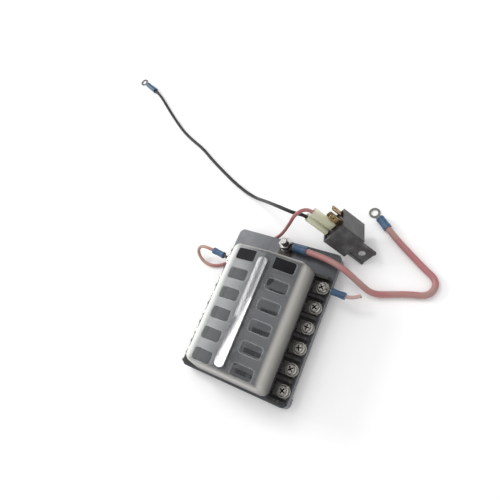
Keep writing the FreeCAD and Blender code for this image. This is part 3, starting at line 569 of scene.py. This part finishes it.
@dataclass(frozen=True)
class FrostedCover:
    """Frosted plastic that is clear in its windows and looks solid down its walls.

    Its left side is painted paler, a painted sheen, and its wall feet are painted darker, painted shade,
    for the light falling on it.
    """

    name: str = "frosted_cover"
    frost: Colour = (0.15, 0.156, 0.166)
    frost_alpha: float = 0.48
    frost_mottle: float = 0.10
    frost_roughness: float = 0.45
    # painted sheen: the roof is painted paler towards its left side
    sheen_painted_frost: Colour = (0.42, 0.435, 0.445)
    left_sheen_from: float = 1.0 * MM
    left_sheen_full: float = 22.0 * MM
    wall: Colour = (0.46, 0.445, 0.415)
    wall_alpha: float = 0.95
    wall_start: float = 24.4 * MM
    wall_full: float = 27.6 * MM
    front_full: float = 51.6 * MM
    back_full: float = 36.4 * MM
    # painted shade: the walls are painted darker towards their feet
    painted_wall_foot_shade: Colour = (0.19, 0.183, 0.17)
    foot_from: float = 35.0 * MM
    foot_full: float = 18.0 * MM
    # painted highlight: the cover's left edge is painted near white and made nearly solid
    painted_edge_glare: Colour = (0.74, 0.75, 0.72)
    bright_from: float = 21.4 * MM
    bright_full: float = 26.4 * MM
    window_alpha: float = 0.16
    window_middle: float = 15.0 * MM
    window_half_width: float = 7.6 * MM
    window_half_height: float = 4.2 * MM
    window_corner: float = 2.0 * MM
    window_shift: float = 0.3 * MM
    window_soft: float = 0.1 * MM
    # the windows' moulded rims are painted as pale lines: partly the rim itself, partly a painted
    # highlight along the window edges
    rim_line_highlight: Colour = (0.50, 0.51, 0.51)
    rim_alpha: float = 0.42
    rim_half_width: float = 0.28 * MM
    rim_core_share: float = 1 / 3
    rib_tone: Colour = (0.115, 0.12, 0.13)
    rib_alpha: float = 0.96
    rib_roughness: float = 0.055
    rib_half_width: float = 3.9 * MM
    rib_front: float = -48.5 * MM
    rib_back: float = 30.0 * MM
    rib_soft: float = 0.2 * MM
    specular: float = 1.0
    bump: float = 0.06
    grain_depth: float = 0.01 * MM

    def build(self, groups: SurfaceGroups) -> bpy.types.Material:
        """Makes the material.

        Args:
            groups: the shared node groups.

        Returns:
            The finished material.
        """
        canvas = Canvas.start(self.name)
        tree, shader = canvas.tree, canvas.shader
        masks = self._masks(canvas)
        grain = add_group(tree, groups.grain, canvas.place)
        link(tree, self._alpha(tree, masks, grain.outputs["Mottle"]), shader.inputs["Alpha"])
        link(tree, self._tone(tree, masks), shader.inputs["Base Color"])
        polished = math_node(tree, "MAXIMUM", masks.rib, masks.window)
        drop = math_node(tree, "MULTIPLY", polished, self.frost_roughness - self.rib_roughness)
        link(tree, math_node(tree, "SUBTRACT", self.frost_roughness, drop), shader.inputs["Roughness"])
        shader.inputs["Specular IOR Level"].default_value = self.specular
        scratches = add_group(tree, groups.scratches, canvas.place)
        height = math_node(tree, "SUBTRACT", grain.outputs["Height"], scratches.outputs["Lines"])
        matt = math_node(tree, "SUBTRACT", 1.0, polished)
        canvas.relief(math_node(tree, "MULTIPLY", height, matt), self.bump, self.grain_depth)
        return canvas.material

    def _masks(self, canvas: Canvas) -> CoverMasks:
        """Makes the masks of all looks.

        Args:
            canvas: the material.

        Returns:
            The masks.
        """
        tree = canvas.tree
        axes = split_axes(tree, canvas.place)
        across = math_node(tree, "ABSOLUTE", axes[Axis.X])
        leftward = math_node(tree, "MULTIPLY", axes[Axis.X], -1.0)
        window, rim = self._window(tree, across, axes[Axis.Y])
        return CoverMasks(
            window=window, rim=rim,
            rib=self._rib(tree, across, axes[Axis.Y]),
            walls=self._walls(tree, across, axes[Axis.Y]),
            # painted highlight along the cover's left edge
            glare=smooth_step(tree, leftward, self.bright_from, self.bright_full),
            # painted shade, deepening towards the wall feet
            foot=smooth_step(tree, axes[Axis.Z], self.foot_from, self.foot_full),
            # painted sheen, rising towards the left
            left_sheen=smooth_step(tree, leftward, self.left_sheen_from, self.left_sheen_full))

    def _window(self, tree: Tree, across: Socket, along: Socket) -> Tuple[Socket, Socket]:
        """Makes the masks of the windows and of their moulded rims.

        Args:
            tree: the material's tree.
            across: distance from the centre plane.
            along: place along the block.

        Returns:
            The window mask and the rim mask.
        """
        beside = math_node(tree, "ABSOLUTE", math_node(tree, "SUBTRACT", across, self.window_middle))
        from_row = from_nearest_row(tree, along, FIRST_ROW + self.window_shift)
        beyond = math_node(tree, "ABSOLUTE", from_row)
        reach = self.window_half_width - self.window_corner
        rise = self.window_half_height - self.window_corner
        far_x = math_node(tree, "MAXIMUM", math_node(tree, "SUBTRACT", beside, reach), 0.0)
        far_y = math_node(tree, "MAXIMUM", math_node(tree, "SUBTRACT", beyond, rise), 0.0)
        edge = math_node(tree, "SUBTRACT", distance(tree, far_x, far_y), self.window_corner)
        inside = smooth_step(tree, edge, self.window_soft, -self.window_soft)
        from_edge = math_node(tree, "ABSOLUTE", edge)
        core = self.rim_half_width * self.rim_core_share
        return inside, smooth_step(tree, from_edge, self.rim_half_width, core)

    def _rib(self, tree: Tree, across: Socket, along: Socket) -> Socket:
        """Makes the mask of the raised centre rib.

        Args:
            tree: the material's tree.
            across: distance from the centre plane.
            along: place along the block.

        Returns:
            The mask's socket.
        """
        soft = self.rib_soft
        beside = smooth_step(tree, across, self.rib_half_width + soft, self.rib_half_width - soft)
        before = smooth_step(tree, along, self.rib_front - soft, self.rib_front + soft)
        behind = smooth_step(tree, along, self.rib_back + soft, self.rib_back - soft)
        return math_node(tree, "MULTIPLY", beside, math_node(tree, "MULTIPLY", before, behind))

    def _walls(self, tree: Tree, across: Socket, along: Socket) -> Socket:
        """Makes the mask of the side walls and the end walls.

        Args:
            tree: the material's tree.
            across: distance from the centre plane.
            along: place along the block.

        Returns:
            The mask's socket.
        """
        run = self.wall_full - self.wall_start
        side = smooth_step(tree, across, self.wall_start, self.wall_full)
        back = smooth_step(tree, along, self.back_full - run, self.back_full)
        forward = math_node(tree, "MULTIPLY", along, -1.0)
        front = smooth_step(tree, forward, self.front_full - run, self.front_full)
        return math_node(tree, "MAXIMUM", side, math_node(tree, "MAXIMUM", back, front))

    def _alpha(self, tree: Tree, masks: CoverMasks, mottle: Socket) -> Socket:
        """Mixes how much each look hides what is under it.

        Args:
            tree: the material's tree.
            masks: where each look lies.
            mottle: the grain's slow mottle.

        Returns:
            The alpha's socket.
        """
        cloud = math_node(tree, "MULTIPLY_ADD", mottle, self.frost_mottle, self.frost_alpha)
        span = math_node(tree, "SUBTRACT", self.wall_alpha, cloud)
        # the painted highlight on the left edge is also made nearly solid
        dense = math_node(tree, "MAXIMUM", masks.walls, masks.glare)
        solid = math_node(tree, "MULTIPLY_ADD", dense, span, cloud)
        keep = math_node(tree, "SUBTRACT", 1.0, masks.window)
        clear = math_node(tree, "MULTIPLY", masks.window, self.window_alpha)
        shown = math_node(tree, "MULTIPLY_ADD", solid, keep, clear)
        veiled = math_node(tree, "MAXIMUM", shown, math_node(tree, "MULTIPLY", masks.rim, self.rim_alpha))
        return math_node(tree, "MAXIMUM", veiled, math_node(tree, "MULTIPLY", masks.rib, self.rib_alpha))

    def _tone(self, tree: Tree, masks: CoverMasks) -> Socket:
        """Mixes the colours of all looks.

        Args:
            tree: the material's tree.
            masks: where each look lies.

        Returns:
            The colour's socket.
        """
        # painted sheen on the left of the roof
        roof = mix_colour(tree, masks.left_sheen, self.frost, self.sheen_painted_frost)
        roof = mix_colour(tree, masks.rib, roof, self.rib_tone)
        # painted shade darkens the walls towards their feet
        side_wall = mix_colour(tree, masks.foot, self.wall, self.painted_wall_foot_shade)
        # painted highlight on the left edge, fading towards the wall feet
        pale = math_node(tree, "MULTIPLY", masks.glare, math_node(tree, "SUBTRACT", 1.0, masks.foot))
        body = mix_colour(tree, pale, mix_colour(tree, masks.walls, roof, side_wall), self.painted_edge_glare)
        # pale rim lines, partly a painted highlight
        return mix_colour(tree, masks.rim, body, self.rim_line_highlight)


def finishes() -> List[Finish]:
    """Lists the object's finishes apart from the cover's.

    Returns:
        The finishes, named after the record's slots, the duller stud steel and the tin darkened as painted
        shade.
    """
    # painted light: the grey moulding is painted paler above 15 mm, on its tops under the frosted cover
    painted_top_light = Fade((0.30, 0.31, 0.325), 15.0 * MM, 16.5 * MM, Axis.Z)
    sunned_loop = Fade((0.42, 0.27, 0.205), -54.0 * MM, -64.0 * MM, Axis.X)
    cut_end = Fade((0.03, 0.022, 0.02), 63.9 * MM, 64.3 * MM, Axis.X)
    return [
        Finish("grey_plastic", (0.080, 0.085, 0.096), (0.062, 0.066, 0.076), roughness=0.24, bump=0.2,
               scratched=0.12, fade=painted_top_light),
        Finish("black_plastic", (0.022, 0.020, 0.020), (0.035, 0.033, 0.032), roughness=0.45, bump=0.3,
               scratched=0.2),
        Finish("black_label", (0.012, 0.012, 0.014), (0.02, 0.02, 0.023), roughness=0.45, bump=0.1,
               specular=0.08),
        Finish("tinned_metal", (0.26, 0.25, 0.23), (0.15, 0.14, 0.13), roughness=0.42, metallic=1.0,
               bump=0.03, tarnished=True),
        # painted shade: the bus bar and clips sit in the dark sockets, and this tin is painted dark for
        # the shade there
        Finish("shade_darkened_tin", (0.085, 0.08, 0.072), (0.05, 0.048, 0.044), roughness=0.5, metallic=1.0,
               bump=0.03, tarnished=True),
        Finish("screw_steel", (0.66, 0.64, 0.60), (0.58, 0.56, 0.52), roughness=0.24, metallic=1.0,
               bump=0.01, tarnished=True, recess=ScrewRecess()),
        Finish("terminal_metal", (0.40, 0.40, 0.39), (0.29, 0.29, 0.28), roughness=0.34, metallic=1.0,
               bump=0.03, tarnished=True),
        Finish("stud_steel", (0.36, 0.35, 0.33), (0.24, 0.23, 0.215), roughness=0.30, metallic=1.0,
               bump=0.02, tarnished=True),
        Finish("blue_sleeve", (0.045, 0.095, 0.175), (0.06, 0.125, 0.22), roughness=0.34, bump=0.1,
               subsurface=0.15),
        Finish("relay_black", (0.045, 0.045, 0.047), (0.095, 0.095, 0.098), roughness=0.34, bump=0.2,
               tarnished=True, patch_scale=110.0, scratched=0.25),
        Finish("blade_brass", (0.42, 0.30, 0.15), (0.17, 0.12, 0.07), roughness=0.3, metallic=1.0,
               tarnished=True),
        Finish("clear_boot", (0.80, 0.81, 0.56), (0.86, 0.86, 0.70), roughness=0.18, alpha=0.60,
               bump=0.1, coat=0.6),
        Finish("pink_wire", (0.41, 0.155, 0.16), (0.37, 0.23, 0.20), roughness=0.38, bump=0.1,
               subsurface=0.1),
        Finish("red_wire", (0.36, 0.105, 0.115), (0.42, 0.18, 0.17), roughness=0.38, bump=0.1,
               fade=sunned_loop),
        Finish("black_wire", (0.016, 0.016, 0.017), (0.03, 0.03, 0.032), roughness=0.4, bump=0.1,
               specular=0.35),
        Finish("pale_wire", (0.42, 0.25, 0.24), (0.48, 0.33, 0.30), roughness=0.4, bump=0.15,
               fade=cut_end),
    ]


class Palette:
    """Every finish of the object, built once."""

    def __init__(self) -> None:
        """Builds the groups and the materials."""
        groups = SurfaceGroups()
        cover = FrostedCover()
        self.materials: Dict[str, bpy.types.Material] = {
            finish.name: finish.build(groups) for finish in finishes()}
        self.materials[cover.name] = cover.build(groups)

    def dress(self, piece: bpy.types.Object, slot: str) -> None:
        """Gives a piece one finish all over.

        Args:
            piece: the object to dress.
            slot: the finish's name.
        """
        piece.data.materials.clear()
        piece.data.materials.append(self.materials[slot])
        log.info("%s wears %s", piece.name, slot)


@dataclass
class BlockDress:
    """Finishes for the nodes whose form is already right."""

    palette: Palette
    record: dict
    nodes: Dict[str, bpy.types.Object]
    # duller stud steel, and tin painted dark as painted shade for the bus bar and clips
    dull_and_shade_darkened_metal: Dict[str, str] = field(default_factory=lambda: {
        "bus_bar": "shade_darkened_tin", "bus_clips": "shade_darkened_tin", "feed_stud": "stud_steel",
        "stud_nut": "stud_steel", "stud_lock_washer": "stud_steel", "stud_flat_washer": "stud_steel"})

    def build(self) -> None:
        """Dresses every node with the finish of its slot, or with the duller stud steel, or with the tin
        darkened as painted shade.
        """
        for part in self.record["subparts"]:
            finish = self.dull_and_shade_darkened_metal.get(part["node"], part["material_slot"])
            self.palette.dress(self.nodes[part["node"]], finish)
        log.info("dressed %d nodes", len(self.nodes))


@dataclass
class Lead:
    """A round wire along a smooth route, whose points are in millimetres."""

    name: str
    slot: str
    node: str
    radius: float
    exit_index: int
    length: float
    pieces: List[str]
    route: List[Point]
    stiffness: Stiffness = Stiffness.LIMP
    steps_along: int = 10
    steps_around: int = 5
    spline_order: int = 3

    def build(self, palette: Palette, nodes: Dict[str, bpy.types.Object]) -> None:
        """Args:
            palette: the finishes.
            nodes: the frame's nodes by name; not used.
        """
        places = np.array(self.route) * MM
        piece = bpy.data.objects.new(self.name, self._curve(places))
        bpy.context.scene.collection.objects.link(piece)
        palette.dress(piece, self.slot)
        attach(piece, Body.BASE.value)
        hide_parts(self.node)
        log.info("%s laid over %.0f mm", self.name, self.length / MM)

    def _curve(self, places: np.ndarray) -> bpy.types.Curve:
        """Makes the round curve.

        Args:
            places: the route's points.

        Returns:
            The curve.
        """
        curve = bpy.data.curves.new(self.name, "CURVE")
        curve.dimensions = "3D"
        curve.resolution_u = self.steps_along
        curve.bevel_depth = self.radius
        curve.bevel_resolution = self.steps_around
        curve.use_fill_caps = True
        spline = curve.splines.new("NURBS")
        spline.points.add(len(places) - 1)
        weighted = np.ones((len(places), 4))
        weighted[:, :3] = places
        spline.points.foreach_set("co", weighted.ravel())
        spline.order_u = self.spline_order
        spline.use_endpoint_u = True
        return curve


def leads() -> List[Lead]:
    """Lists the three free leads, with their routes in millimetres.

    Returns:
        The leads, ready to build.
    """
    feed_lead = Lead(
        "feed_lead", "pink_wire", "feed_wire", 2.25 * MM, 0, 162 * MM,
        ["feed_ring", "feed_sleeve", "feed_end_ring", "feed_end_sleeve"],
        [(13.17, 50.37, 15.4), (23.55, 49.72, 15.4), (35.0, 48.0, 17.5), (47.0, 45.0, 17.0),
         (58.0, 40.5, 11.0), (68.5, 37.0, 3.4), (80.0, 41.3, 2.3), (92.0, 45.2, 2.3),
         (101.7, 47.0, 2.3), (105.7, 53.0, 2.3), (104.2, 60.2, 2.3), (96.7, 64.6, 2.3),
         (87.0, 71.0, 2.3), (75.0, 79.2, 2.3), (67.38, 84.64, 3.2), (60.41, 90.34, 3.2)],
        Stiffness.MEDIUM)
    relay_lead = Lead(
        "relay_red_lead", "red_wire", "relay_lead", 1.3 * MM, -1, 169 * MM,
        ["circuit_left_ring", "circuit_left_sleeve", "spade_red", "boot_red", "relay_case",
         "relay_base", "relay_blades"],
        [(22.07, 71.38, 34.06), (17.0, 72.07, 39.13), (13.5, 68.2, 45.0), (9.2, 63.3, 43.5),
         (6.0, 62.6, 37.0), (1.7, 62.6, 28.0), (-6.7, 61.6, 12.0), (-13.5, 60.0, 2.0),
         (-24.0, 49.5, 1.35), (-35.0, 38.0, 1.4), (-45.5, 27.0, 1.35), (-56.0, 21.5, 1.4),
         (-66.5, 22.5, 2.0), (-72.5, 28.5, 6.5), (-67.5, 32.0, 13.2), (-58.5, 31.55, 14.2),
         (-50.15, 30.31, 14.2)])
    ground_lead = Lead(
        "relay_black_lead", "black_wire", "ground_wire", 1.3 * MM, 0, 272 * MM,
        ["spade_black", "boot_black", "ground_ring", "ground_sleeve"],
        [(18.2, 68.16, 30.62), (13.13, 68.85, 35.69), (6.5, 66.8, 39.5), (-4.5, 68.8, 39.0),
         (-17.5, 74.0, 30.0), (-31.0, 80.6, 16.5), (-44.0, 86.0, 5.5), (-58.0, 91.3, 1.6),
         (-73.0, 98.0, 1.35), (-89.0, 106.5, 1.35), (-103.5, 114.5, 1.35), (-118.0, 123.6, 1.35),
         (-132.5, 129.9, 1.35), (-147.0, 137.3, 1.35), (-160.0, 146.3, 1.35),
         (-173.0, 155.8, 1.35), (-186.0, 166.0, 1.35), (-198.5, 175.4, 2.6),
         (-209.53, 180.37, 2.6)])
    return [feed_lead, relay_lead, ground_lead]


@dataclass
class PhotoCamera:
    """The camera at the photograph's viewing angle, turned in degrees."""

    name: str = "photo_camera"
    place: Point = (120.35 * MM, -46.18 * MM, 308.21 * MM)
    turn: Point = (24.009, 18.437, 24.192)
    focal_length: float = 32.22
    sensor: float = 36.0
    clip_start: float = 10.0 * MM

    def build(self) -> None:
        """Makes the camera and sets it as the scene's own."""
        data = bpy.data.cameras.new(self.name)
        data.lens = self.focal_length
        data.sensor_width = self.sensor
        data.clip_start = self.clip_start
        camera = bpy.data.objects.new(self.name, data)
        camera.location = self.place
        camera.rotation_euler = Euler([math.radians(angle) for angle in self.turn], "XYZ")
        bpy.context.scene.collection.objects.link(camera)
        bpy.context.scene.camera = camera
        log.info("%s set", self.name)


@dataclass(frozen=True)
class Lamp:
    """A rectangular lamp that faces a target, with its roll in degrees."""

    name: str
    place: Point
    size: Tuple[float, float]
    radiance: float
    target: Point = (0.0, 0.0, 0.0)
    roll: float = 0.0

    def build(self) -> None:
        """Makes the lamp with the power that its size and radiance need."""
        data = bpy.data.lights.new(self.name, "AREA")
        data.shape = "RECTANGLE"
        data.size, data.size_y = self.size
        data.energy = self.radiance * math.pi * self.size[0] * self.size[1]
        lamp = bpy.data.objects.new(self.name, data)
        lamp.location = self.place
        heading = (Vector(self.place) - Vector(self.target)).normalized()
        length = Vector((math.sin(math.radians(self.roll)), math.cos(math.radians(self.roll)), 0.0))
        length = (length - heading * length.dot(heading)).normalized()
        lamp.rotation_euler = Matrix((length.cross(heading), length, heading)).transposed().to_euler()
        bpy.context.scene.collection.objects.link(lamp)
        log.info("%s lit", self.name)


@dataclass
class Studio:
    """White table and surroundings, two soft lamps, and three narrow ones that the rib mirrors."""

    table_side: float = 6.0
    table_tone: float = 0.93
    table_roughness: float = 0.9
    table_specular: float = 0.1
    ambient: float = 0.90
    ambient_in_gloss: float = 0.26
    lamps: List[Lamp] = field(default_factory=lambda: [
        Lamp("back_softbox", (-0.62, 0.38, 1.00), (0.28, 0.26), 10.0),
        Lamp("left_softbox", (-0.82, 0.10, 0.48), (0.16, 0.34), 16.0),
        Lamp("rib_streak", (-0.374, 0.04, 0.90), (0.030, 0.22), 17.0, roll=7.0),
        Lamp("rib_line", (-0.398, 0.19, 0.90), (0.006, 0.20), 16.0, roll=-1.0),
        Lamp("rib_hairline", (-0.376, 0.21, 0.90), (0.005, 0.16), 14.0, roll=-1.0)])

    def build(self) -> None:
        """Makes the table, the world and the lamps."""
        self._table()
        self._world()
        for lamp in self.lamps:
            lamp.build()

    def _table(self) -> None:
        """Makes a flat white table that shows the object's shadow."""
        signs = np.array([[-1, -1, 0], [1, -1, 0], [1, 1, 0], [-1, 1, 0]])
        corners = signs * self.table_side / 2
        mesh = bpy.data.meshes.new("table")
        mesh.from_pydata(corners.tolist(), [], [(0, 1, 2, 3)])
        table = bpy.data.objects.new("table", mesh)
        bpy.context.scene.collection.objects.link(table)
        material = bpy.data.materials.new("white_table")
        material.use_nodes = True
        shader = material.node_tree.nodes["Principled BSDF"]
        shader.inputs["Base Color"].default_value = (self.table_tone,) * 3 + (1.0,)
        shader.inputs["Roughness"].default_value = self.table_roughness
        shader.inputs["Specular IOR Level"].default_value = self.table_specular
        mesh.materials.append(material)
        log.info("table laid")

    def _world(self) -> None:
        """Makes white surroundings: full for the camera, softer as light and in gloss."""
        world = bpy.data.worlds.new("white_room")
        world.use_nodes = True
        bpy.context.scene.world = world
        tree = world.node_tree
        background = tree.nodes["Background"]
        background.inputs["Color"].default_value = (1.0, 1.0, 1.0, 1.0)
        path = tree.nodes.new("ShaderNodeLightPath")
        gloss = math_node(tree, "MULTIPLY", path.outputs["Is Glossy Ray"],
                          self.ambient_in_gloss - self.ambient)
        soft = math_node(tree, "ADD", gloss, self.ambient)
        seen = math_node(tree, "MULTIPLY", path.outputs["Is Camera Ray"], 1.0 - self.ambient)
        link(tree, math_node(tree, "ADD", soft, seen), background.inputs["Strength"])


def main() -> None:
    """Loads the frame, dresses it, and sets the table, the light and the camera."""
    logging.basicConfig(level=logging.INFO, format="%(name)s: %(message)s")
    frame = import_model()
    bpy.context.scene.view_settings.view_transform = "Standard"
    PhotoCamera().build()
    Studio().build()
    palette = Palette()
    BlockDress(palette, frame["record"], frame["nodes"]).build()
    for lead in leads():
        lead.build(palette, frame["nodes"])


if __name__ == "__main__":
    main()
